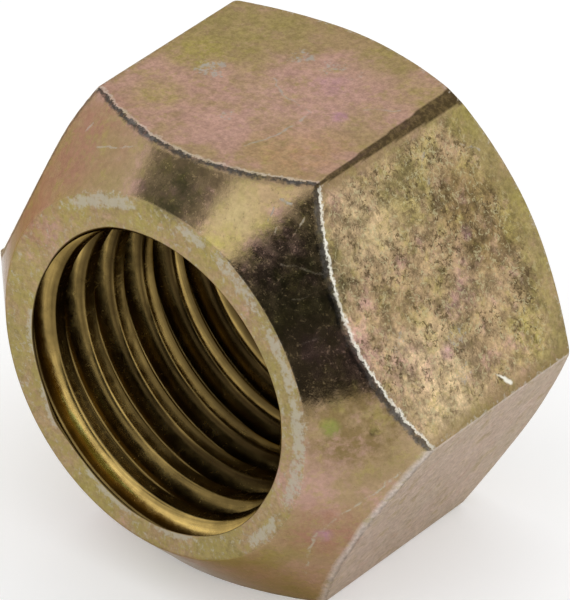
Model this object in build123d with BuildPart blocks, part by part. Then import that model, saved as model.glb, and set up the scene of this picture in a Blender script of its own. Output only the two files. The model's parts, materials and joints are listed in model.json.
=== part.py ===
from build123d import *
import math
import os

# Hexagon nut with a conical seat, turned and tapped from hexagonal bar.
#
# The thread axis is Y.  The seat end faces -Y, the plain back end faces +Y,
# and one pair of wrench flats is square to Z, so the nut lies on a flat.
# The origin is on the thread axis, half way along the nut.  Lengths are in mm.

# Hexagonal body
across_flats = 14.0
height = 9.4
corner_rounding = 0.3        # radius along the six long edges

# Seat end
seat_half_angle = 45.0       # degrees, seat cone to thread axis
seat_land_width = 1.0        # flat ring between the bore's lead-in and the cone
seat_lead_in = 0.16          # 45 degree chamfer on the bore's rim

# Back end
back_chamfer_angle = 35.0    # degrees, corner chamfer to back face
back_chamfer_inset = 0.05    # from the wrench flats in to the chamfer circle
back_lead_in = 0.8           # 45 degree chamfer on the bore's rim

# Metric thread, bored to its minor diameter
thread_diameter = 10.0
thread_pitch = 1.25
thread_engagement = 0.9      # thread depth, as a share of the full depth

full_thread_depth = 5 / 8 * math.sqrt(3) / 2 * thread_pitch
bore_radius = thread_diameter / 2 - thread_engagement * full_thread_depth

seat_land_radius = bore_radius + seat_lead_in + seat_land_width
back_chamfer_radius = across_flats / 2 - back_chamfer_inset
envelope_radius = across_flats / math.sqrt(3)

seat_depth = (envelope_radius - seat_land_radius) / math.tan(math.radians(seat_half_angle))
back_chamfer_depth = (envelope_radius - back_chamfer_radius) * math.tan(math.radians(back_chamfer_angle))

seat_y = -height / 2
back_y = height / 2

with BuildPart() as nut:
    # Length of hexagonal bar, its flats square to Z
    with BuildSketch(Plane.XZ.offset(-back_y)) as bar_section:
        RegularPolygon(across_flats / 2, 6, major_radius=False)
        fillet(bar_section.vertices(), corner_rounding)
    extrude(amount=height)

    # Turned envelope: the seat cone at one end and the corner chamfer at the other
    with BuildSketch(Plane.XY):
        with BuildLine():
            Polyline(
                (0, seat_y),
                (seat_land_radius, seat_y),
                (envelope_radius, seat_y + seat_depth),
                (envelope_radius, back_y - back_chamfer_depth),
                (back_chamfer_radius, back_y),
                (0, back_y),
                close=True,
            )
        make_face()
    revolve(axis=Axis.Y, mode=Mode.INTERSECT)

    # Tapping bore, with a lead-in at each rim
    with Locations(Plane.XZ):
        Hole(bore_radius)
    chamfer(nut.faces().sort_by(Axis.Y).first.inner_wires().edges(), seat_lead_in)
    chamfer(nut.faces().sort_by(Axis.Y).last.inner_wires().edges(), back_lead_in)

nut.part.label = "nut"

os.makedirs("parts", exist_ok=True)
export_step(nut.part, "parts/nut.step")
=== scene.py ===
import json
import math

import bmesh
import bpy
import numpy as np
from mathutils import Matrix, Vector, noise


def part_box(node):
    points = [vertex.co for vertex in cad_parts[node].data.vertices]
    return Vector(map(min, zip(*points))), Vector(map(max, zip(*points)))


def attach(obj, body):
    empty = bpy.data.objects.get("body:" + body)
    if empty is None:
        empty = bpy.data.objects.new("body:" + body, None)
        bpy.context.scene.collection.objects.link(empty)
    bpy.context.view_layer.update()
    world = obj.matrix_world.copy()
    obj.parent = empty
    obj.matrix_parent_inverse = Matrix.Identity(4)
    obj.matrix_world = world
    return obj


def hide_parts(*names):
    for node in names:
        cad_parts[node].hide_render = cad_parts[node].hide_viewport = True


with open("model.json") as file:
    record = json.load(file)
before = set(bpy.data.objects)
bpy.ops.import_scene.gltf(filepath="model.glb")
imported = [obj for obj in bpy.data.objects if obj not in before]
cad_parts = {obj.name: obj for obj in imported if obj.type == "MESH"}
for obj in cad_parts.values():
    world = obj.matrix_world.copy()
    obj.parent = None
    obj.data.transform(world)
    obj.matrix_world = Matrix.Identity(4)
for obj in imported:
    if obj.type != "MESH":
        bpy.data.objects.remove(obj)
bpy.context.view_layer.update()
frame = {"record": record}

# The looks of a yellow zinc plated hexagon nut with a conical seat: its tapped thread,
# its worn edges, its finish, and a plain white studio.  The thread axis is Y and the
# seat end faces -Y.  Angles about the axis run from +X towards +Z.  Lengths are metres.

MM = 0.001
PIECE = "nut_dressed"

# Sizes from the frame
nut_low, nut_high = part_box("nut")
across_flats = nut_high.z - nut_low.z
front_y = nut_low.y
back_y = nut_high.y
height = back_y - front_y

# Thread, metric and right-handed
thread_radius = 10.0 * MM / 2
thread_pitch = 1.25 * MM
root_half = 1 / 16                    # half the root's flat, in pitches
bore_radius = next(m["dims"]["r_mm"] for m in frame["record"]["mounts"] if m["name"] == "thread") * MM
thread_depth = thread_radius - bore_radius
flank_slope = math.sqrt(3)            # out from the crest for each step along the axis
crest_half = 1 / 2 - root_half - thread_depth / flank_slope / thread_pitch
crest_round = 0.10 * MM               # the wear on a crest's front edge
crest_depth = 1.02 * MM               # from the front to the first crest's middle, at crest_angle
crest_angle = math.radians(225.3)

# Seat end.  The seat was turned a little out of true with the bore.
seat_lead_in = 0.16 * MM
seat_land = 1.0 * MM
land_radius = bore_radius + seat_lead_in + seat_land
seat_set_back = 0.14 * MM             # keeps the leaning seat's high side in place
seat_lean = Vector((-0.0054, 0, 0.0543))    # slope of the seat face along X and Z
seat_centre = Vector((-0.017, 0, 0.271)) * MM
land_edge_round = 0.07 * MM
rim_worn = 0.25 * MM                  # how much wider the bore's rim is worn on one side
rim_worn_middle = 62                  # degrees, the middle of the worn stretch
rim_worn_half = 88                    # degrees, from there to its ends
rim_worn_fade = 40                    # degrees, over which it fades out at each end
rim_nicks = (                         # middle and reach in degrees, and how much wider the rim is
    (203, 18, -0.06 * MM),
    (216, 9, 0.09 * MM),
    (235, 24, -0.09 * MM),
)
lip_slope = 1.7                       # how steeply the thread's run-out leaves the rim

# Edges
front_edge_round = 0.10 * MM
back_edge_round = 0.08 * MM
corner_round = 0.30 * MM
sheared_corner = 1                    # this corner is sheared off flat, wider towards the back
sheared_width = (0.02 * MM, 0.62 * MM)    # across the sheared face, at the front and the back
worn_side = 2                         # the front of this side is worn to a slope
worn_length = 2.5 * MM
worn_slope = 0.45
worn_skew = 0.1                       # how much further the wear reaches along the side
worn_round = 0.4 * MM                 # the soft start of the slope

# Back end
back_land_radius = across_flats / 2 - 0.05 * MM
back_chamfer_slope = math.tan(math.radians(35))
back_lead_in = 0.8 * MM
back_rim_radius = bore_radius + back_lead_in

# Finish, for the sides in turn from +X towards +Z: how coarse, how much pinker, and how strong a painted
# pale reflection each has, and the strength, width and shift in millimetres of the lines along its front
# edge
side_grain = (1.0, 0.1, 0.3, 0.6, 0.4, 0.12)
side_pink = (-0.02, 0.06, 0.0, -0.04, 0.03, 0.05)
# Painted pale reflection, on the lower-right side only
side_painted_reflection = (0.0, 0.0, 0.0, 0.0, 0.0, 0.8)
edge_bright = (1.0, 0.3, 0.4, 0.4, 0.4, 0.0)
edge_dark = (0.85, 0.95, 0.5, 0.5, 0.5, 0.35)
band_width = (0.22, 0.17, 0.15, 0.15, 0.15, 0.12)
band_shift = (-0.03, 0.04, 0.0, 0.0, 0.0, 0.07)
seat_grain = 0.06
back_grain = 0.25

# Painted highlight and shade on the thread, as how golden it is, by pitches from a crest's middle:
# in the first turn, and deep in the bore. Then how strong each is, by degrees round the bore.
painted_sheen_phase = (-0.42, -0.36, -0.30, -0.26, -0.20, -0.16, -0.12, -0.08, -0.04, 0.0, 0.05, 0.10, 0.16, 0.30)
painted_sheen_front = (0.3, 0.7, 2.6, 1.8, 1.0, 1.0, 0.4, 1.4, 1.8, 1.2, 0.6, 0.3, 0.15, 0.2)
painted_sheen_deep = (0.5, 1.2, 1.6, 0.4, 0.07, 0.3, 1.4, 1.8, 0.85, 0.65, 0.45, 0.28, 0.12, 0.2)
painted_sheen_angles = (150, 190, 215, 235, 260, 300)
front_strength = (0.4, 0.4, 1.4, 1.6, 1.0, 0.7)
deep_strength = (0.6, 1.2, 1.05, 0.85, 0.45, 0.45)
front_turn_end = 2.6 * MM             # from the front to the last crest that is all front turn
front_turn_fade = 1.2 * MM            # over which the front turn's gold gives way to the deep one's
# The painted sheen dims deeper in the bore, as painted shade.
deep_fade = 0.15                      # how much weaker it gets for each millimetre past the fourth

# Grid
columns_per_side = 64
grid_start = math.radians(240)        # the grid's seam, on a hidden corner
weld_distance = 0.0002 * MM           # joins the seam, and rows that fall together

# Camera
camera_azimuth = 41.53                # degrees from -Y towards +X
camera_elevation = 34.04
camera_roll = math.radians(-1.86)
camera_distance = 199.7 * MM
camera_lens = 425
camera_aim = (0.727 * MM, 0.376 * MM)     # where it looks, across and up from the nut's middle

# Tent of white light.  Each part is its middle, its lean, its reach and its strength.
tent_level = 1.0
tent_parts = (
    ((31, 16.5), -50, (37, 16), 0.05),    # the gap for the camera
    ((-40, 41), 22, (17, 8), 0.28),       # the frame between the panel and the side
    ((-4, 45.5), 8, (9.5, 8), 1.42),      # the panel of light
)

# Floor
floor_glow = 0.30
floor_front = 50 * MM                 # how far it reaches towards the camera
floor_reach = 250 * MM                # and on its other sides


def column_angles():
    """Angles about the axis, closest together at the six corners, from one seam round to itself."""
    half = columns_per_side // 2
    share = np.arange(-half, half) / half
    offsets = math.radians(30) * np.sign(share) * (0.2 * np.abs(share) + 0.8 * share**2)
    sides = [grid_start + math.radians(60) * side + offsets for side in range(6)]
    angles = np.concatenate(sides)
    return np.append(angles, angles[0] + 2 * math.pi)


angles = column_angles()
cosine = np.cos(angles)
sine = np.sin(angles)


def degrees_from(middle):
    """Angle about the axis between each column and a middle, in degrees."""
    return np.abs((np.degrees(angles) - middle + 180) % 360 - 180)


def rim_wear():
    """How much wider than the tapped bore's lead-in the worn rim is in each column."""
    wider = rim_worn * np.clip((rim_worn_half - degrees_from(rim_worn_middle)) / rim_worn_fade, 0, 1)
    for middle, reach, amount in rim_nicks:
        wider = wider + amount * np.maximum(1 - degrees_from(middle) / reach, 0)
    return wider


seat_rim_radius = bore_radius + seat_lead_in + rim_wear()


def ragged(seed, scale):
    """A value in about -1 to 1 for each column, from seamless noise round the axis."""
    values = [
        noise.noise(Vector((c * scale, s * scale, seed)), noise_basis="PERLIN_ORIGINAL")
        for c, s in zip(cosine, sine)
    ]
    return np.array(values) * 2


def seat_face(radius):
    """Y of the leaning plane of the seat's flat ring, at a radius in each column."""
    slope = seat_lean.x * cosine + seat_lean.z * sine
    return front_y + seat_set_back + slope * radius


def seat_height(radius):
    """Y of the seat end at a radius in each column: the ring, the cone, and the round between."""
    across = radius * cosine - seat_centre.x
    up = radius * sine - seat_centre.z
    out = np.hypot(across, up) - land_radius
    rounded = (out + land_edge_round) ** 2 / (4 * land_edge_round)
    cone = np.where(np.abs(out) < land_edge_round, rounded, np.maximum(out, 0))
    return seat_face(radius) + cone


def land_edge():
    """Radius of the ring's outer edge in each column."""
    along = seat_centre.x * cosine + seat_centre.z * sine
    return along + np.sqrt(land_radius**2 - seat_centre.length_squared + along**2)


def from_nearest_corner():
    """Angle from the nearest corner of the hexagon in each column."""
    return np.abs((angles + math.pi / 6) % (math.pi / 3) - math.pi / 6)


def sharp_side():
    """Distance from the axis to the hexagon's side in each column, its corners sharp."""
    return across_flats / 2 / np.cos(math.pi / 6 - from_nearest_corner())


def rounded_side():
    """Distance from the axis to the hexagon's side in each column, its corners rounded."""
    turn = from_nearest_corner()
    centre = (across_flats / 2 - corner_round) / math.cos(math.pi / 6)
    tangent = math.atan2(corner_round / 2, centre + corner_round * math.cos(math.pi / 6))
    arc = centre * np.cos(turn)
    arc = arc + np.sqrt(np.maximum(corner_round**2 - (centre * np.sin(turn)) ** 2, 0))
    return np.where(turn < tangent, arc, sharp_side())


def sheared_face(y):
    """Distance from the axis to the flat face that cuts the sheared corner at each Y."""
    share = np.clip((y - front_y) / height, 0, 1)
    width = sheared_width[0] + (sheared_width[1] - sheared_width[0]) * share**1.5
    cut = width / 2 / math.tan(math.radians(60))
    return (across_flats / math.sqrt(3) - cut) / np.cos(from_nearest_corner())


def at_sheared_corner():
    """Whether the sheared corner is the one nearest to each column."""
    return np.round(angles / math.radians(60)).astype(int) % 6 == sheared_corner


def is_sheared(y):
    """Whether each point is on the sheared face."""
    return at_sheared_corner() & (sheared_face(y) < sharp_side())


def worn_face(y):
    """Distance from the axis to the slope worn on the front of one side at each Y."""
    half_side = math.radians(30.4)
    middle = math.radians(60 * worn_side + 30)
    turn = np.clip(angles % (2 * math.pi) - middle, -half_side, half_side)
    start = front_y + worn_length + worn_skew * across_flats / 2 * np.tan(turn)
    cut = worn_slope * (start - y + np.sqrt((start - y) ** 2 + worn_round**2)) / 2
    on_side = np.abs(turn) < half_side
    return np.where(on_side, (across_flats / 2 - cut) / np.cos(turn), across_flats)


def hexagon_radius(y):
    """Distance from the axis to the hexagon's side at each Y."""
    sheared = np.minimum(sharp_side(), sheared_face(y))
    side = np.where(at_sheared_corner(), sheared, rounded_side())
    return np.minimum(side, worn_face(y))


# Bore


def thread_phase(y):
    """How far each Y lies behind the middle of the nearest crest, in pitches from -0.5 to 0.5."""
    turns = (y - front_y - crest_depth) / thread_pitch + (angles - crest_angle) / (2 * math.pi)
    return (turns + 0.5) % 1 - 0.5


def tapped_radius(y):
    """Radius of the tapped thread at each Y.  It runs out in a thin lip at the front rim."""
    phase = thread_phase(y)
    rise = (np.abs(phase) - crest_half) * thread_pitch * flank_slope
    worn = (rise + np.sqrt(rise**2 + crest_round**2)) / 2
    rise = np.where(phase < 0, worn, np.maximum(rise, 0))
    lip = seat_rim_radius + lip_slope * np.maximum(y - seat_face(seat_rim_radius), 0)
    return np.minimum(bore_radius + np.minimum(rise, thread_depth), np.maximum(lip, bore_radius))


def lead_in_radius(y):
    """Radius of the two chamfers on the bore's rims at each Y."""
    front = seat_rim_radius - (y - seat_face(seat_rim_radius))
    back = back_rim_radius - (back_y - y)
    return np.maximum(front, back)


def bore_rows():
    """Rows that follow the thread's helix, cut off at both ends of the bore."""
    flank = (-0.4375, -0.40, -0.37, -0.335, -0.31, -0.285, -0.26, -0.24, -0.22, -0.20, -0.18)
    crest = (-0.155, -0.12, -0.08, 0.0, 0.08, 0.135, 0.156, 0.162)
    phases = flank + crest + (0.30, 0.4375, 0.5)
    turns = range(-2, math.ceil(height / thread_pitch) + 2)
    helix = crest_depth + front_y - thread_pitch * (angles - crest_angle) / (2 * math.pi)
    rows = np.array([helix + thread_pitch * (turn + phase) for turn in turns for phase in phases])
    start = seat_face(seat_rim_radius)
    margin = thread_pitch / 60
    rows = np.where(rows < start + margin, start, rows)
    rows = np.where(rows > back_y - margin, back_y, rows)
    return move_rows_to_crossings(rows, start)


def move_rows_to_crossings(rows, start):
    """Moves the nearest row onto each line where a chamfer meets the thread."""
    for _ in range(2):
        gap = np.array([tapped_radius(y) - lead_in_radius(y) for y in rows])
        crossed = (gap[:-1] > 0) != (gap[1:] > 0)
        share = gap[:-1] / np.where(crossed, gap[:-1] - gap[1:], 1)
        meeting = rows[:-1] + share * (rows[1:] - rows[:-1])
        inside = (rows > start) & (rows < back_y)
        lower = crossed & inside[:-1] & ((share < 0.5) | ~inside[1:])
        upper = crossed & inside[1:] & ~lower
        rows[:-1] = np.where(lower, meeting, rows[:-1])
        rows[1:] = np.where(upper, meeting, rows[1:])
    return rows


# Rings: each is the radius and the Y of one row in every column


def bore_rings():
    return [(np.maximum(tapped_radius(y), lead_in_radius(y)), y) for y in bore_rows()]


def rounded_edge(before, edge, after, count=5):
    """Rings on a round from one point to another, past the sharp edge between them."""
    rings = []
    for t in np.linspace(0, 1, count):
        weights = ((1 - t) ** 2, 2 * t * (1 - t), t**2)
        rings.append(tuple(sum(w * p[i] for w, p in zip(weights, (before, edge, after))) for i in (0, 1)))
    return rings


def between(start, end, count):
    """Evenly spaced values between two ends, the ends left out."""
    return [start + (end - start) * (i + 1) / (count + 1) for i in range(count)]


def seat_rings(rim):
    """The flat ring and the cone, from the bore's rim out to the hexagon's front edge."""
    outer = land_edge()
    near_edge = [outer + land_edge_round * step for step in (-1.6, -1, -0.5, 0, 0.5, 1, 1.6)]
    edge_y = front_edge_y()
    edge_radius = hexagon_radius(edge_y) - front_edge_width() / math.sqrt(2)
    radii = [rim + 0.03 * MM, rim + 0.08 * MM]
    radii += between(rim + 0.08 * MM, near_edge[0], 5)
    radii += near_edge
    radii += between(near_edge[-1], edge_radius, 12)
    return [(radius, seat_height(radius)) for radius in radii]


def front_edge_y():
    """Y where the cone cuts the hexagon's sides, in an arc on each."""
    y = np.full_like(angles, front_y)
    for _ in range(30):
        y = (y + seat_height(hexagon_radius(y))) / 2
    return y


def front_edge_width():
    return front_edge_round * (1 + 0.35 * ragged(3.1, 9) + 0.25 * ragged(7.7, 40))


def side_rings():
    """The front edge, the six flats, the back edge, the corner chamfers and the back face."""
    width = front_edge_width()
    edge_y = front_edge_y()
    edge_radius = hexagon_radius(edge_y)
    before = (edge_radius - width / math.sqrt(2), edge_y - width / math.sqrt(2))
    after_y = edge_y + width
    rings = rounded_edge(before, (edge_radius, edge_y), (hexagon_radius(after_y), after_y))

    back_radius = hexagon_radius(np.full_like(angles, back_y))
    chamfer = back_radius - back_land_radius
    back_edge = (back_radius, back_y - chamfer * back_chamfer_slope)
    width = np.minimum(back_edge_round, 0.4 * chamfer)
    before_y = back_edge[1] - width
    rings += [(hexagon_radius(y), y) for y in between(after_y, before_y, 24)]
    after = (back_radius - width, back_edge[1] + width * back_chamfer_slope)
    rings += rounded_edge((back_radius, before_y), back_edge, after)

    face_edge = (np.full_like(angles, back_land_radius), np.full_like(angles, back_y))
    before = (back_land_radius + width, back_y - width * back_chamfer_slope)
    rings += list(zip(between(after[0], before[0], 3), between(after[1], before[1], 3)))
    rings += rounded_edge(before, face_edge, (back_land_radius - width, face_edge[1]))
    for radius in between(back_land_radius - back_edge_round, back_rim_radius, 6):
        rings.append((np.full_like(angles, radius), face_edge[1]))
    rings.append((np.full_like(angles, back_rim_radius + 0.03 * MM), face_edge[1]))
    return rings


def nut_mesh():
    """One closed skin: out through the bore to the seat, and round over the sides to the back."""
    bore = bore_rings()
    seat = seat_rings(bore[0][0])
    sides = side_rings()
    rings = bore[::-1] + seat + sides
    radius = np.array([ring[0] for ring in rings])
    y = np.array([ring[1] for ring in rings])
    points = np.stack([radius * cosine, y, radius * sine], axis=-1)
    rows, columns = y.shape
    here = np.arange(rows * columns).reshape(rows, columns)
    after = np.roll(here, -1, axis=0)
    faces = np.stack([here[:, :-1], here[:, 1:], after[:, 1:], after[:, :-1]], axis=-1)
    mesh = bpy.data.meshes.new(PIECE)
    mesh.from_pydata(points.reshape(-1, 3).tolist(), [], faces.reshape(-1, 4).tolist())
    for name, values in surface_marks(radius, y, len(bore), len(seat)).items():
        mesh.attributes.new(name, "FLOAT", "POINT").data.foreach_set("value", values.ravel())
    work = bmesh.new()
    work.from_mesh(mesh)
    bmesh.ops.remove_doubles(work, verts=work.verts, dist=weld_distance)
    bmesh.ops.recalc_face_normals(work, faces=work.faces)
    for face in work.faces:
        face.smooth = True
    work.to_mesh(mesh)
    work.free()
    return mesh


def thread_painted_sheen(y):
    """The thread's painted highlight and shade at each point, as how golden it is."""
    phase = thread_phase(y)
    degrees = np.degrees(angles)
    front = np.interp(phase, painted_sheen_phase, painted_sheen_front, period=1)
    front = front * np.interp(degrees, painted_sheen_angles, front_strength, period=360)
    deep = np.interp(phase, painted_sheen_phase, painted_sheen_deep, period=1)
    deep = deep * np.interp(degrees, painted_sheen_angles, deep_strength, period=360)
    crest_y = y - seat_face(seat_rim_radius) - phase * thread_pitch
    deep = deep * (1 - deep_fade * np.clip(crest_y / MM - 4, 0, 4))
    share = np.clip((front_turn_end - crest_y) / front_turn_fade, 0, 1)
    return share * front + (1 - share) * deep


def surface_marks(radius, y, bore_count, seat_count):
    """Values for the finish, and for the painted light and shade, at each point: what part of the nut it
    is on, and how far it lies from an edge that wears, in millimetres."""
    row = np.arange(len(y))[:, None] * np.ones_like(angles)
    in_bore = row < bore_count
    on_seat = ~in_bore & (row < bore_count + seat_count)
    on_side = ~in_bore & ~on_seat
    out_of_ring = np.hypot(radius * cosine - seat_centre.x, radius * sine - seat_centre.z) - land_radius
    edge_y = front_edge_y()
    from_front = y - edge_y + (math.sqrt(2) - 1) * (radius - hexagon_radius(edge_y))
    on_back = on_side & (y > 0) & (radius < hexagon_radius(y) - 0.04 * MM)
    on_wall = on_side & ~on_back
    back_lead = in_bore & (y > 0) & (radius > tapped_radius(y) + 0.001 * MM)
    side = np.floor(angles / math.radians(60)).astype(int) % 6
    from_corner = across_flats / math.sqrt(3) * from_nearest_corner() * np.ones_like(y)
    from_back = np.abs(back_y - (hexagon_radius(y) - back_land_radius) * back_chamfer_slope - y)
    far = 9 * MM
    marks = {
        "in_bore": in_bore & ~back_lead,
        # The thread's painted highlight and shade
        "painted_sheen": np.where(in_bore, thread_painted_sheen(y), 0),
        "depth": np.where(in_bore, (y - front_y) / MM, 0),
        "on_ring": on_seat & (out_of_ring < 0),
        "on_cone": on_seat & (out_of_ring >= 0),
        "sheared": on_wall & is_sheared(y),
        "coarse": np.where(on_wall, np.array(side_grain)[side], np.where(on_back, back_grain, seat_grain)),
        "pinkness": np.where(on_wall, np.array(side_pink)[side], 0),
        # The lower-right side's painted pale reflection
        "painted_reflection": np.where(on_wall, np.array(side_painted_reflection)[side], 0),
        "from_rim": np.where(in_bore, far, radius - radius[bore_count - 1]) / MM,
        "from_ring_edge": np.where(on_seat, out_of_ring, far) / MM,
        "from_front_edge": np.where(in_bore, far, from_front) / MM,
        "from_corner": np.where(on_wall, from_corner, far) / MM,
        "from_back_edge": np.where(on_side, from_back, far) / MM,
    }
    by_side = (edge_bright, edge_dark, band_width, band_shift)
    for name, values in zip(("edge_bright", "edge_dark", "band_width", "band_shift"), by_side):
        marks[name] = np.array(values)[side] * np.ones_like(y)
    return {name: np.asarray(values, float) for name, values in marks.items()}


def dress_nut():
    nut = bpy.data.objects.new(PIECE, nut_mesh())
    bpy.context.scene.collection.objects.link(nut)
    nut.data.materials.append(yellow_zinc())
    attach(nut, "root")
    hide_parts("nut")


# Node helpers: a value that is a socket is linked, and any other is set


def add(tree, kind, inputs=(), **settings):
    node = tree.nodes.new("ShaderNode" + kind)
    for name, value in settings.items():
        setattr(node, name, value)
    for key, value in dict(inputs).items():
        if isinstance(value, bpy.types.NodeSocket):
            tree.links.new(value, node.inputs[key])
        else:
            node.inputs[key].default_value = value
    return node


def maths(tree, operation, first, second=0.0):
    return add(tree, "Math", {0: first, 1: second}, operation=operation).outputs[0]


def plus(tree, first, second):
    return maths(tree, "ADD", first, second)


def minus(tree, first, second):
    return maths(tree, "SUBTRACT", first, second)


def times(tree, first, second):
    return maths(tree, "MULTIPLY", first, second)


def larger(tree, first, second):
    return maths(tree, "MAXIMUM", first, second)


def steps(tree, value, low, high, start=0.0, end=1.0):
    """A smooth step of a value, from start at low to end at high."""
    inputs = {"Value": value, "From Min": low, "From Max": high, "To Min": start, "To Max": end}
    return add(tree, "MapRange", inputs, interpolation_type="SMOOTHSTEP").outputs["Result"]


def blend(tree, amount, first, second):
    """A colour between two others."""
    first, second = (c if isinstance(c, bpy.types.NodeSocket) else (*c, 1) for c in (first, second))
    inputs = {0: amount, 6: first, 7: second}
    return add(tree, "Mix", inputs, data_type="RGBA").outputs[2]


def cloud(tree, place, scale, detail=3.0, rough=0.5, seed=0.0):
    """Noise of so many lumps to the millimetre."""
    moved = add(tree, "VectorMath", {0: place, 1: (seed, seed * 1.7, seed * 0.6)}, operation="ADD")
    inputs = {"Vector": moved.outputs[0], "Scale": scale, "Detail": detail, "Roughness": rough}
    return add(tree, "TexNoise", inputs).outputs["Fac"]


def spot(tree, place, centre, reach):
    """1 at a centre, falling smoothly to 0 at its reach."""
    away = add(tree, "VectorMath", {0: place, 1: centre}, operation="DISTANCE").outputs["Value"]
    return steps(tree, away, 0.3 * reach, reach, 1.0, 0.0)


def any_spot(tree, place, spots):
    """The strongest of several spots: each is a centre, a reach and a strength."""
    total = 0.0
    for centre, reach, strength in spots:
        one = times(tree, spot(tree, place, centre, reach), strength)
        total = larger(tree, total, one)
    return total


def curls(tree, place, scale, width, seed):
    """Thin curling lines, broken into short strokes."""
    field = minus(tree, cloud(tree, place, scale, 2, 0.5, seed), 0.5)
    line = steps(tree, maths(tree, "ABSOLUTE", field), 0.3 * width, width, 1.0, 0.0)
    strokes = steps(tree, cloud(tree, place, 1.4 * scale, 3, 0.6, seed + 5), 0.50, 0.56)
    return times(tree, line, strokes)


def warped(tree, place, scale, amount):
    """The place pushed about by noise, so that straight lines waver."""
    push = add(tree, "TexNoise", {"Vector": place, "Scale": scale, "Detail": 3.0}).outputs["Color"]
    push = add(tree, "VectorMath", {0: push, 1: (0.5, 0.5, 0.5)}, operation="SUBTRACT").outputs[0]
    push = add(tree, "VectorMath", {0: push, "Scale": amount}, operation="SCALE").outputs[0]
    return add(tree, "VectorMath", {0: place, 1: push}, operation="ADD").outputs[0]


def scaled(tree, colour, amount):
    return add(tree, "VectorMath", {0: colour, "Scale": amount}, operation="SCALE").outputs[0]


def scratch(tree, place, start, end, width):
    """A straight scratch between two places."""
    start, end = Vector(start), Vector(end)
    way = end - start
    offset = add(tree, "VectorMath", {0: place, 1: start}, operation="SUBTRACT").outputs[0]
    along = add(tree, "VectorMath", {0: offset, 1: way / way.length_squared}, operation="DOT_PRODUCT")
    share = maths(tree, "MINIMUM", larger(tree, along.outputs["Value"], 0.0), 1.0)
    foot = add(tree, "VectorMath", {0: way, "Scale": share}, operation="SCALE").outputs[0]
    away = add(tree, "VectorMath", {0: offset, 1: foot}, operation="DISTANCE").outputs["Value"]
    return steps(tree, away, 0.3 * width, width, 1.0, 0.0)


def mark(tree, name):
    return add(tree, "Attribute", attribute_name=name).outputs["Fac"]


# Finish


# Colours
OLIVE = (0.335, 0.265, 0.115)
TAN = (0.38, 0.27, 0.15)
PINK = (0.47, 0.295, 0.23)
SALMON = (0.37, 0.205, 0.14)
ROSE = (0.54, 0.335, 0.285)
ORANGE_TAN = (0.45, 0.28, 0.16)
SAND = (0.56, 0.42, 0.25)
GREEN_GOLD = (0.37, 0.31, 0.10)
GREEN = (0.26, 0.31, 0.07)
MAUVE = (0.45, 0.25, 0.30)
PAINTED_PALE_REFLECTION = (0.66, 0.585, 0.53)
# Painted highlight colour of the cone's light wedge
PAINTED_LIGHT_WEDGE = (0.41, 0.32, 0.16)
UMBER = (0.23, 0.16, 0.07)
# Painted dark reflection colour on the cone
PAINTED_DARK_REFLECTION = (0.16, 0.135, 0.065)
BROWN = (0.09, 0.06, 0.03)
DARK_BROWN = (0.05, 0.034, 0.016)
STRAW = (0.56, 0.50, 0.29)
ASH = (0.47, 0.43, 0.34)
BARE_ZINC = (0.56, 0.53, 0.47)
# Bright bare zinc, and the colour of the painted glints
BRIGHT_ZINC_AND_GLINT = (0.90, 0.87, 0.76)
SLATE = (0.14, 0.13, 0.12)
BLACK_SLATE = (0.045, 0.042, 0.04)
# The thread's gold, which the painted sheen brightens into painted highlights, and the painted shade of
# its grooves
THREAD_GOLD = (0.43, 0.305, 0.10)
THREAD_PAINTED_SHADE = (0.028, 0.016, 0.006)
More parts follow.
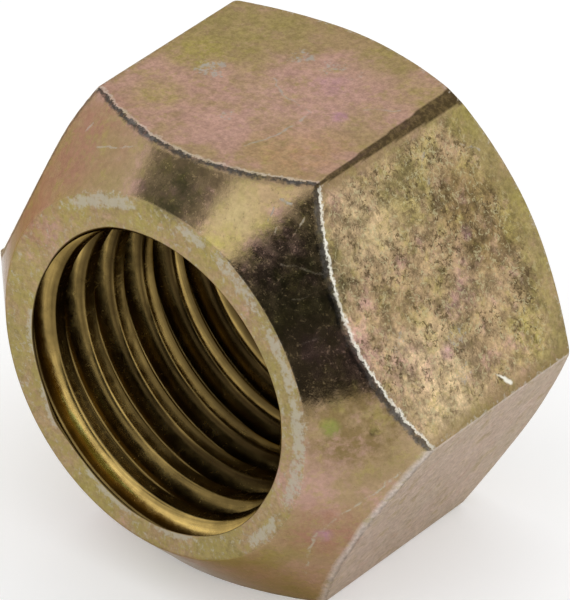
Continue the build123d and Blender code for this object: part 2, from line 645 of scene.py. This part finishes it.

# Tints of the finish, and painted reflections on the seat's cone, light and dark: centre in millimetres,
# reach, strength, colour
TINTS_AND_REFLECTIONS = (
    ((-2.9, 2.8, 7.0), 2.8, 0.8, OLIVE),
    ((-3.0, 1.1, 7.0), 1.3, 0.7, GREEN_GOLD),
    ((-2.5, -1.2, 7.0), 1.1, 0.6, GREEN_GOLD),
    ((1.5, 4.0, 7.0), 1.5, 0.6, OLIVE),
    ((3.2, 3.2, 7.0), 1.2, 0.4, GREEN_GOLD),
    ((2.5, -1.0, 7.0), 2.0, 0.7, ORANGE_TAN),
    ((-0.3, -1.8, 7.0), 1.5, 0.5, PINK),
    ((1.2, 1.6, 7.0), 2.2, 0.75, PINK),
    ((0.9, 1.0, 7.0), 3.0, 0.55, ROSE),
    ((0.0, -1.6, 7.0), 1.3, 0.35, ROSE),
    ((2.3, 1.0, 7.0), 0.35, 0.7, MAUVE),
    ((1.0, 2.1, 7.0), 0.8, 0.35, MAUVE),
    ((5.6, 2.9, 4.3), 2.2, 0.6, UMBER),
    ((5.4, 2.6, 4.7), 1.3, 0.8, UMBER),
    ((6.1, 2.7, 3.4), 1.0, 0.7, UMBER),
    ((6.2, 3.7, 3.3), 0.8, 0.6, UMBER),
    ((6.2, -0.9, 3.3), 0.9, 0.35, UMBER),
    ((4.4, 3.8, 6.3), 0.9, 0.8, GREEN_GOLD),
    ((7.4, 2.7, 1.0), 1.1, 0.7, GREEN_GOLD),
    ((7.3, -1.2, 1.3), 2.4, 0.95, SAND),
    ((4.9, -1.1, 5.5), 1.8, 0.5, SAND),
    ((5.9, 4.4, 3.7), 1.2, 0.6, GREEN_GOLD),
    ((7.0, 4.0, 1.9), 1.2, 0.5, GREEN_GOLD),
    ((5.8, 2.2, 4.0), 0.3, 0.45, MAUVE),
    ((6.6, 0.6, 2.6), 0.4, 0.35, MAUVE),
    ((7.0, -0.2, 1.8), 0.35, 0.5, MAUVE),
    ((-3.3, -3.3, 5.8), 2.4, 0.9, SALMON),
    ((-3.9, -3.6, 4.9), 1.8, 0.6, SALMON),
    ((-4.9, -4.0, 3.6), 1.6, 0.8, SALMON),
    ((-2.5, -3.2, 6.3), 0.7, 0.5, OLIVE),
    ((-1.9, -4.2, 5.2), 1.6, 0.6, OLIVE),
    ((-4.4, -4.4, 1.5), 1.6, 0.6, GREEN_GOLD),
    ((-3.0, -4.3, 4.4), 1.0, 0.6, GREEN_GOLD),
    ((-0.2, -4.2, 5.3), 1.0, 0.7, GREEN_GOLD),
    ((1.9, -4.2, 5.2), 0.9, 0.7, GREEN_GOLD),
    ((3.2, -3.3, 5.9), 0.6, 0.7, GREEN_GOLD),
    ((-2.5, -4.8, -4.6), 1.5, 0.5, GREEN_GOLD),
    # Painted dark reflection on the cone
    ((0.4, -3.8, 6.2), 1.2, 0.8, PAINTED_DARK_REFLECTION),
    # Painted highlight: the light wedge on the cone
    ((2.3, -3.5, 6.1), 1.0, 0.8, PAINTED_LIGHT_WEDGE),
    ((2.5, -4.0, 5.5), 0.7, 0.6, GREEN_GOLD),
    # Painted dark reflection on the cone
    ((4.6, -3.3, 4.7), 2.0, 0.75, PAINTED_DARK_REFLECTION),
    # Painted dark reflection on the cone's lower right, in umber
    ((6.5, -3.5, 0.9), 2.3, 0.9, UMBER),
    ((5.6, -3.9, -2.9), 1.7, 0.8, SALMON),
    ((4.4, -3.3, -4.8), 1.5, 0.6, PINK),
    ((5.5, -3.85, -3.0), 0.4, 0.6, MAUVE),
    ((6.0, -4.0, 0.9), 0.4, 0.55, GREEN),
    ((6.9, -3.2, 0.7), 0.18, 1.0, BROWN),
)

# Worn places on the ring's outer edge and its inner lip, and smudges: centre, reach, strength
RING_WEAR = (
    ((-2.0, -4.2, 5.3), 2.2, 1.0),
    ((1.5, -4.2, 5.7), 1.0, 0.9),
    ((3.2, -4.3, 4.7), 1.8, 0.8),
    ((4.9, -4.3, 2.8), 2.0, 0.9),
    ((5.4, -4.5, 0.8), 1.8, 1.0),
    ((5.1, -4.6, -1.0), 1.6, 0.9),
    ((3.8, -4.7, -2.8), 1.6, 0.9),
    ((5.75, -4.35, -0.1), 0.5, 0.8),
)
LIP_WEAR = (
    ((-4.5, -4.55, -0.1), 1.3, 0.9),
    ((-3.9, -4.65, -2.3), 1.2, 1.0),
    ((-1.7, -4.78, -4.1), 1.6, 1.0),
    ((0.8, -4.8, -4.6), 1.4, 0.9),
    ((4.7, -4.5, 1.0), 1.5, 0.6),
)
SMUDGES = (
    ((-2.1, 0.7, 7.0), 0.8, 0.9),
    ((-0.2, -0.8, 7.0), 0.45, 0.9),
    ((-0.5, 2.75, 7.0), 0.6, 0.9),
    ((0.5, 2.9, 7.0), 0.7, 0.7),
    ((1.3, 2.9, 7.0), 0.5, 0.6),
    ((6.5, -1.7, 2.8), 0.6, 0.7),
    ((6.9, 0.4, 2.0), 0.6, 0.8),
    ((7.4, 0.0, 1.1), 0.6, 0.7),
    ((-2.7, -3.4, 6.1), 0.8, 0.4),
)


def on_cone(x, z):
    """The place on the seat's cone over a point of the ring's plane, in millimetres."""
    place = Vector((x, 0, z)) * MM
    out = (place - seat_centre).length - land_radius
    return (x, (front_y + seat_set_back + seat_lean.dot(place) + out) / MM, z)


# Scratches: two ends, a width and a strength, in millimetres
SCRATCHES = (
    ((1.2, -1.7, 7.0), (1.5, -0.8, 7.0), 0.06, 0.6),
    ((1.5, -0.8, 7.0), (1.6, 0.2, 7.0), 0.05, 0.8),
    ((1.6, 0.2, 7.0), (1.5, 0.7, 7.0), 0.05, 0.8),
    ((-0.4, 1.4, 7.0), (0.3, 0.9, 7.0), 0.05, 0.7),
    ((0.3, 0.9, 7.0), (1.5, 0.7, 7.0), 0.04, 0.6),
    ((2.6, 1.7, 7.0), (3.4, 2.3, 7.0), 0.06, 0.5),
    ((4.7, 3.3, 5.9), (4.9, 3.9, 5.5), 0.05, 0.8),
    ((4.6, 1.7, 6.0), (4.5, 2.0, 6.2), 0.05, 0.6),
    ((4.6, 1.7, 6.0), (4.9, 1.7, 5.5), 0.05, 0.6),
    (on_cone(4.0, 5.9), on_cone(4.1, 6.3), 0.04, 0.7),
    (on_cone(3.5, 5.8), on_cone(3.5, 6.0), 0.04, 0.5),
    (on_cone(3.2, 6.1), on_cone(3.2, 6.4), 0.04, 0.7),
    (on_cone(3.3, 6.6), on_cone(3.6, 6.5), 0.05, 0.9),
    (on_cone(4.0, 5.2), on_cone(5.0, 5.0), 0.05, 0.25),
    (on_cone(4.4, 4.3), on_cone(4.9, 4.5), 0.04, 0.2),
    (on_cone(5.1, 3.3), on_cone(5.5, 3.5), 0.05, 0.2),
    (on_cone(-3.7, 6.1), on_cone(-3.5, 6.4), 0.06, 0.5),
    (on_cone(-2.9, 6.1), on_cone(-2.4, 6.3), 0.05, 0.5),
    (on_cone(-2.4, 6.3), on_cone(-1.3, 6.7), 0.04, 0.5),
)

# Painted glints, bright highlights on an edge, given as scratches are
GLINTS = (
    ((7.70, 1.05, 0.68), (7.93, 1.45, 0.28), 0.06, 1.0),
    ((7.85, 1.32, 0.42), (7.93, 1.45, 0.28), 0.11, 1.0),
)

# A stain's ashen outline on the cone, from end to end, in millimetres along X and Z
STAIN = ((7.4, -0.7), (6.8, -1.4), (6.1, -2.1), (5.3, -3.1), (4.9, -4.0), (4.5, -5.0))
stain_width = 0.06
stain_strength = 0.7


def scaled_place(tree):
    """Place on the nut in millimetres."""
    coordinates = add(tree, "TexCoord").outputs["Object"]
    return add(tree, "VectorMath", {0: coordinates, "Scale": 1 / MM}, operation="SCALE").outputs[0]


def plating_and_reflections(tree, place):
    """Passivated zinc, in patches that drift from olive through tan to pink, with painted reflections on
    the cone and on one pale side.
    """
    hue = plus(tree, cloud(tree, place, 0.4, 5, 0.65, 2.0), mark(tree, "pinkness"))
    hue = plus(tree, hue, steps(tree, mark(tree, "from_back_edge"), 0.2, 2.4, -0.10, 0.0))
    hue = minus(tree, hue, times(tree, mark(tree, "on_ring"), 0.02))
    colour = blend(tree, steps(tree, hue, 0.38, 0.49), OLIVE, TAN)
    colour = blend(tree, steps(tree, hue, 0.51, 0.62), colour, PINK)
    torn = steps(tree, cloud(tree, place, 2.2, 5, 0.75, 27.0), 0.32, 0.68, 0.3, 1.4)
    # Tints, some of them painted reflections on the cone
    for centre, reach, strength, tint in TINTS_AND_REFLECTIONS:
        amount = times(tree, spot(tree, place, centre, reach), strength)
        colour = blend(tree, times(tree, amount, torn), colour, tint)
    # Painted reflection: the lower-right side made pale
    colour = blend(tree, mark(tree, "painted_reflection"), colour, PAINTED_PALE_REFLECTION)
    patch = cloud(tree, place, 1.6, 6, 0.75, 9.0)
    colour = blend(tree, steps(tree, patch, 0.52, 0.66, 0.0, 0.45), colour, GREEN_GOLD)
    pink = steps(tree, patch, 0.34, 0.46, 0.35, 0.0)
    turned = larger(tree, mark(tree, "on_cone"), mark(tree, "on_ring"))
    pink = times(tree, pink, minus(tree, 1.0, times(tree, turned, 0.7)))
    return blend(tree, pink, colour, PINK)


def coarse_grain(tree, place, colour):
    """Dark and pale specks and curls, strongest on the coarse sides and away from their edges."""
    inner = steps(tree, mark(tree, "from_back_edge"), 0.3, 1.1, 0.25, 1.0)
    inner = times(tree, inner, steps(tree, mark(tree, "from_corner"), 0.2, 0.6, 0.3, 1.0))
    coarse = times(tree, mark(tree, "coarse"), inner)
    mottle = steps(tree, cloud(tree, place, 1.3, 7, 0.8, 33.0), 0.34, 0.66, 0.5, 1.6)
    colour = blend(tree, coarse, colour, scaled(tree, colour, mottle))
    patches = steps(tree, cloud(tree, place, 0.9, 4, 0.6, 5.0), 0.36, 0.60, 0.3, 1.0)
    dark = steps(tree, cloud(tree, place, 4.5, 4, 0.75, 3.0), 0.53, 0.62, 0.0, 0.85)
    dark = larger(tree, dark, times(tree, curls(tree, place, 3.4, 0.035, 71.0), 0.8))
    dark = times(tree, times(tree, dark, patches), coarse)
    colour = blend(tree, dark, colour, BROWN)
    pale = times(tree, curls(tree, place, 3.1, 0.03, 83.0), 0.6)
    flecks = steps(tree, cloud(tree, place, 5.0, 5, 0.8, 41.0), 0.55, 0.66, 0.0, 0.75)
    pale = larger(tree, pale, flecks)
    return blend(tree, times(tree, pale, coarse), colour, STRAW)


def fine_speckle(tree, place, colour):
    """Light and dark at the size of single crystals, fainter on the turned cone."""
    light = steps(tree, cloud(tree, place, 7.0, 5, 0.75, 8.0), 0.3, 0.7, 0.80, 1.20)
    rough = minus(tree, 1.0, times(tree, mark(tree, "on_cone"), 0.5))
    return blend(tree, rough, colour, scaled(tree, colour, light))


def drawn(tree, place, lines):
    """Straight marks that waver a little."""
    total = 0.0
    for start, end, width, strength in lines:
        one = times(tree, scratch(tree, place, start, end, width), strength)
        total = larger(tree, total, one)
    return total


def scuffs(tree, place, speckle):
    """Scratches and smudges of bare zinc, broken up along their length."""
    lines = drawn(tree, warped(tree, place, 2.5, 0.25), SCRATCHES)
    lines = times(tree, lines, steps(tree, speckle, 0.38, 0.55, 0.3, 1.0))
    smudge = any_spot(tree, place, SMUDGES)
    fine = cloud(tree, place, 4.5, 5, 0.8, 97.0)
    broken = plus(tree, smudge, times(tree, minus(tree, fine, 0.5), 4.5))
    smudge = times(tree, steps(tree, broken, 0.8, 1.2, 0.0, 0.9), steps(tree, smudge, 0.0, 0.3))
    return larger(tree, lines, smudge)


def ring_finish(tree, place, colour, speckle):
    """The flat ring: green-gold flecks, and ashen wear, finely broken, towards its edges."""
    fleck = steps(tree, cloud(tree, place, 2.4, 5, 0.8, 57.0), 0.48, 0.58, 0.0, 0.55)
    colour = blend(tree, times(tree, fleck, mark(tree, "on_ring")), colour, GREEN_GOLD)
    inward = maths(tree, "ABSOLUTE", plus(tree, mark(tree, "from_ring_edge"), 0.2))
    near_edge = steps(tree, inward, 0.05, 0.42, 1.0, 0.0)
    outer = times(tree, any_spot(tree, place, RING_WEAR), near_edge)
    near = steps(tree, mark(tree, "from_rim"), 0.06, 0.40, 1.0, 0.0)
    inner = times(tree, any_spot(tree, place, LIP_WEAR), near)
    both = larger(tree, outer, inner)
    both = larger(tree, both, times(tree, mark(tree, "on_ring"), 0.35))
    broken = plus(tree, both, times(tree, minus(tree, speckle, 0.5), 3.2))
    worn = times(tree, steps(tree, broken, 0.45, 0.95), steps(tree, both, 0.05, 0.35, 0.0, 0.8))
    return blend(tree, worn, colour, ASH)


def front_edges(tree, place, colour):
    """The edge of each side against the cone: a dark band, and a bright line beside it."""
    wobble = steps(tree, cloud(tree, place, 4.0, 5, 0.8, 4.0), 0.3, 0.7, -0.07, 0.07)
    edge = minus(tree, mark(tree, "from_front_edge"), mark(tree, "band_shift"))
    edge = plus(tree, edge, wobble)
    inner = plus(tree, edge, mark(tree, "band_width"))
    band = times(tree, steps(tree, inner, -0.07, 0.07), steps(tree, edge, -0.03, 0.01, 1.0, 0.0))
    patchy = cloud(tree, place, 2.0, 6, 0.8, 24.0)
    band = times(tree, band, steps(tree, patchy, 0.36, 0.52, 0.45, 1.0))
    shade = blend(tree, steps(tree, patchy, 0.48, 0.6), BLACK_SLATE, SLATE)
    colour = blend(tree, times(tree, band, mark(tree, "edge_dark")), colour, shade)
    gaps = steps(tree, cloud(tree, place, 1.5, 4, 0.7, 12.0), 0.38, 0.58, 0.6, 1.0)
    line = times(tree, steps(tree, edge, -0.03, 0.01), steps(tree, edge, 0.05, 0.11, 1.0, 0.0))
    line = times(tree, times(tree, line, gaps), mark(tree, "edge_bright"))
    return blend(tree, line, colour, BRIGHT_ZINC_AND_GLINT)


def worn_shaded_glinting_corners(tree, place, colour, speckle):
    """The dark sheared corner, painted shade in umber along the long corners, flecks of bare metal, and
    painted glints.
    """
    # Painted shade: umber darkening along the long corners
    shade = steps(tree, mark(tree, "from_corner"), 0.05, 0.4, 0.45, 0.0)
    colour = blend(tree, times(tree, shade, mark(tree, "coarse")), colour, UMBER)
    sheared = mark(tree, "sheared")
    dark = blend(tree, steps(tree, speckle, 0.42, 0.64, 0.0, 0.5), DARK_BROWN, UMBER)
    colour = blend(tree, times(tree, sheared, 0.9), colour, dark)
    reach = steps(tree, speckle, 0.46, 0.66, 0.0, 0.2)
    corner = minus(tree, reach, plus(tree, mark(tree, "from_corner"), sheared))
    edge = minus(tree, reach, mark(tree, "from_back_edge"))
    worn = times(tree, steps(tree, larger(tree, corner, edge), 0.0, 0.08), 0.45)
    colour = blend(tree, worn, colour, BARE_ZINC)
    # Painted highlights: the glints
    glint = drawn(tree, warped(tree, place, 2.5, 0.2), GLINTS)
    return blend(tree, glint, colour, BRIGHT_ZINC_AND_GLINT)


def thread_painted_light(tree, place, colour):
    """Painted golden highlights on the edges, and painted shade on duller crests and dark grooves,
    streaked as the tap left them.
    """
    flat = add(tree, "VectorMath", {0: place, 1: (1, 0, 1)}, operation="MULTIPLY").outputs[0]
    radius = add(tree, "VectorMath", {0: flat}, operation="LENGTH").outputs["Value"]
    rings = add(tree, "CombineXYZ", {0: mark(tree, "depth"), 1: radius, 2: 0.0}).outputs[0]
    streaks = steps(tree, cloud(tree, rings, 6.0, 4, 0.7, 51.0), 0.3, 0.7, 0.7, 1.25)
    lumps = steps(tree, cloud(tree, place, 0.9, 4, 0.6, 19.0), 0.32, 0.68, 0.7, 1.25)
    # Painted highlights and painted shade on the thread
    painted_sheen = times(tree, mark(tree, "painted_sheen"), times(tree, streaks, lumps))
    gold = scaled(tree, THREAD_GOLD, painted_sheen)
    thread = add(tree, "VectorMath", {0: gold, 1: THREAD_PAINTED_SHADE}, operation="ADD").outputs[0]
    return blend(tree, mark(tree, "in_bore"), colour, thread)


def stained(tree, place, colour, speckle):
    """The ashen outline of a stain."""
    corners = [on_cone(x, z) for x, z in STAIN]
    lines = [(*ends, stain_width, stain_strength) for ends in zip(corners, corners[1:])]
    outline = drawn(tree, warped(tree, place, 2.5, 0.3), lines)
    outline = times(tree, outline, steps(tree, speckle, 0.42, 0.55))
    return blend(tree, outline, colour, ASH)


def surface_roughness(tree, place, scuffed):
    """Satin, glossier on the cone and in the bore, duller where it is scuffed and in the cone's grains."""
    gloss = steps(tree, cloud(tree, place, 2.5, 5, 0.7, 6.0), 0.3, 0.7, -0.05, 0.07)
    smooth = times(tree, mark(tree, "on_cone"), 0.28)
    smooth = larger(tree, smooth, times(tree, mark(tree, "in_bore"), 0.20))
    roughness = minus(tree, plus(tree, gloss, 0.42), smooth)
    roughness = plus(tree, roughness, times(tree, scuffed, 0.4))
    grains = steps(tree, cloud(tree, place, 8.0, 5, 0.8, 77.0), 0.53, 0.70, 0.0, 0.22)
    return plus(tree, roughness, times(tree, grains, mark(tree, "on_cone")))


def surface_bump(tree, place):
    """Fine grain over low lumps, fainter on the cone and faintest in the bore."""
    fine = cloud(tree, place, 7.0, 6, 0.7, 1.0)
    lumps = cloud(tree, place, 1.6, 4, 0.6, 14.0)
    relief = plus(tree, times(tree, fine, 0.35), lumps)
    strength = minus(tree, 0.5, times(tree, mark(tree, "on_cone"), 0.35))
    strength = minus(tree, strength, times(tree, mark(tree, "in_bore"), 0.42))
    inputs = {"Height": relief, "Distance": 0.03 * MM, "Strength": strength}
    return add(tree, "Bump", inputs).outputs["Normal"]


def yellow_zinc():
    material = bpy.data.materials.new("yellow_zinc")
    material.use_nodes = True
    tree = material.node_tree
    shader = tree.nodes["Principled BSDF"]
    place = scaled_place(tree)
    speckle = cloud(tree, place, 6.0, 5, 0.75, 61.0)
    scuffed = scuffs(tree, place, speckle)
    colour = plating_and_reflections(tree, place)
    colour = fine_speckle(tree, place, colour)
    colour = coarse_grain(tree, place, colour)
    colour = ring_finish(tree, place, colour, speckle)
    colour = stained(tree, place, colour, speckle)
    colour = blend(tree, times(tree, scuffed, 0.85), colour, BARE_ZINC)
    colour = front_edges(tree, place, colour)
    colour = worn_shaded_glinting_corners(tree, place, colour, speckle)
    colour = thread_painted_light(tree, place, colour)
    tree.links.new(colour, shader.inputs["Base Color"])
    tree.links.new(surface_roughness(tree, place, scuffed), shader.inputs["Roughness"])
    tree.links.new(surface_bump(tree, place), shader.inputs["Normal"])
    shader.inputs["Metallic"].default_value = 1.0
    shader.inputs["Specular Tint"].default_value = (0.6, 0.5, 0.4, 1)
    return material


# Studio


def floor_piece():
    """The floor ends short of the camera, so the seat shows the tent's gap down past the horizon."""
    ahead = aim(camera_azimuth, 0)
    across = aim(camera_azimuth + 90, 0)
    corners = [
        across * side * floor_reach + ahead * length + Vector((0, 0, nut_low.z))
        for side, length in ((-1, floor_front), (1, floor_front), (1, -floor_reach), (-1, -floor_reach))
    ]
    mesh = bpy.data.meshes.new("floor")
    mesh.from_pydata(corners, [], [(0, 1, 2, 3)])
    floor = bpy.data.objects.new("floor", mesh)
    bpy.context.scene.collection.objects.link(floor)
    floor.data.materials.append(white_floor())


def seen_directly(tree):
    """1 for a ray from the camera or from a gloss, else 0."""
    path = add(tree, "LightPath")
    both = larger(tree, path.outputs["Is Camera Ray"], path.outputs["Is Glossy Ray"])
    return larger(tree, both, path.outputs["Is Transmission Ray"])


def white_floor():
    """White card. What it lacks of white under the studio's light is added for the eye alone."""
    material = bpy.data.materials.new("white_floor")
    material.use_nodes = True
    tree = material.node_tree
    shader = tree.nodes["Principled BSDF"]
    shader.inputs["Base Color"].default_value = (0.8, 0.8, 0.8, 1)
    shader.inputs["Roughness"].default_value = 1.0
    shader.inputs["Specular IOR Level"].default_value = 0.0
    shader.inputs["Emission Color"].default_value = (1, 1, 1, 1)
    glow = times(tree, seen_directly(tree), floor_glow)
    tree.links.new(glow, shader.inputs["Emission Strength"])
    return material


def camera_view():
    """Long lens, looking at the seat end from its right and above."""
    back = aim(camera_azimuth, camera_elevation)
    across = aim(camera_azimuth + 90, 0)
    above = back.cross(across)
    target = camera_aim[0] * across + camera_aim[1] * above
    right = across * math.cos(camera_roll) + above * math.sin(camera_roll)
    data = bpy.data.cameras.new("camera")
    data.lens = camera_lens
    data.sensor_width = 36
    data.clip_start = 0.01
    data.clip_end = 10
    camera = bpy.data.objects.new("camera", data)
    turned = Matrix((right, back.cross(right), back)).transposed()
    camera.matrix_world = Matrix.Translation(target + back * camera_distance) @ turned.to_4x4()
    bpy.context.scene.collection.objects.link(camera)
    bpy.context.scene.camera = camera


def aim(azimuth, elevation):
    """Direction towards a place round the nut. Azimuth 0 is -Y and 90 is +X, in degrees."""
    a = math.radians(azimuth)
    e = math.radians(elevation)
    return Vector((math.sin(a) * math.cos(e), -math.cos(a) * math.cos(e), math.sin(e)))


def tent_part(tree, look, light, middle, lean, reach, strength):
    """Paints an oval of the tent: middle is where it is, lean turns its long axis from the
    horizontal, and reach is its half length and half width, all in degrees."""
    forward = aim(*middle)
    level = Vector((0, 0, 1)).cross(forward).normalized()
    upright = forward.cross(level)
    turn = math.radians(lean)
    long_way = level * math.cos(turn) + upright * math.sin(turn)
    short_way = upright * math.cos(turn) - level * math.sin(turn)
    total = 0.0
    for way, degrees in zip((long_way, short_way), reach):
        across = add(tree, "VectorMath", {0: look, 1: way}, operation="DOT_PRODUCT").outputs["Value"]
        share = maths(tree, "DIVIDE", across, math.sin(math.radians(degrees)))
        total = plus(tree, times(tree, share, share), total)
    front = add(tree, "VectorMath", {0: look, 1: forward}, operation="DOT_PRODUCT").outputs["Value"]
    inside = steps(tree, total, 0.9, 1.1, 1.0, 0.0)
    inside = times(tree, inside, maths(tree, "GREATER_THAN", front, 0.0))
    return blend(tree, inside, light, (strength, strength, strength))


def world_light():
    """A white tent, with a dark gap where the camera looks in and a panel of light at its left."""
    world = bpy.data.worlds.new("studio")
    world.use_nodes = True
    tree = world.node_tree
    look = add(tree, "TexCoord").outputs["Generated"]
    light = (tent_level, tent_level, tent_level)
    for part in tent_parts:
        light = tent_part(tree, look, light, *part)
    path = add(tree, "LightPath")
    light = blend(tree, path.outputs["Is Camera Ray"], light, (1, 1, 1))
    tree.links.new(light, tree.nodes["Background"].inputs["Color"])
    bpy.context.scene.world = world


dress_nut()
floor_piece()
world_light()
camera_view()
bpy.context.scene.view_settings.view_transform = "Standard"
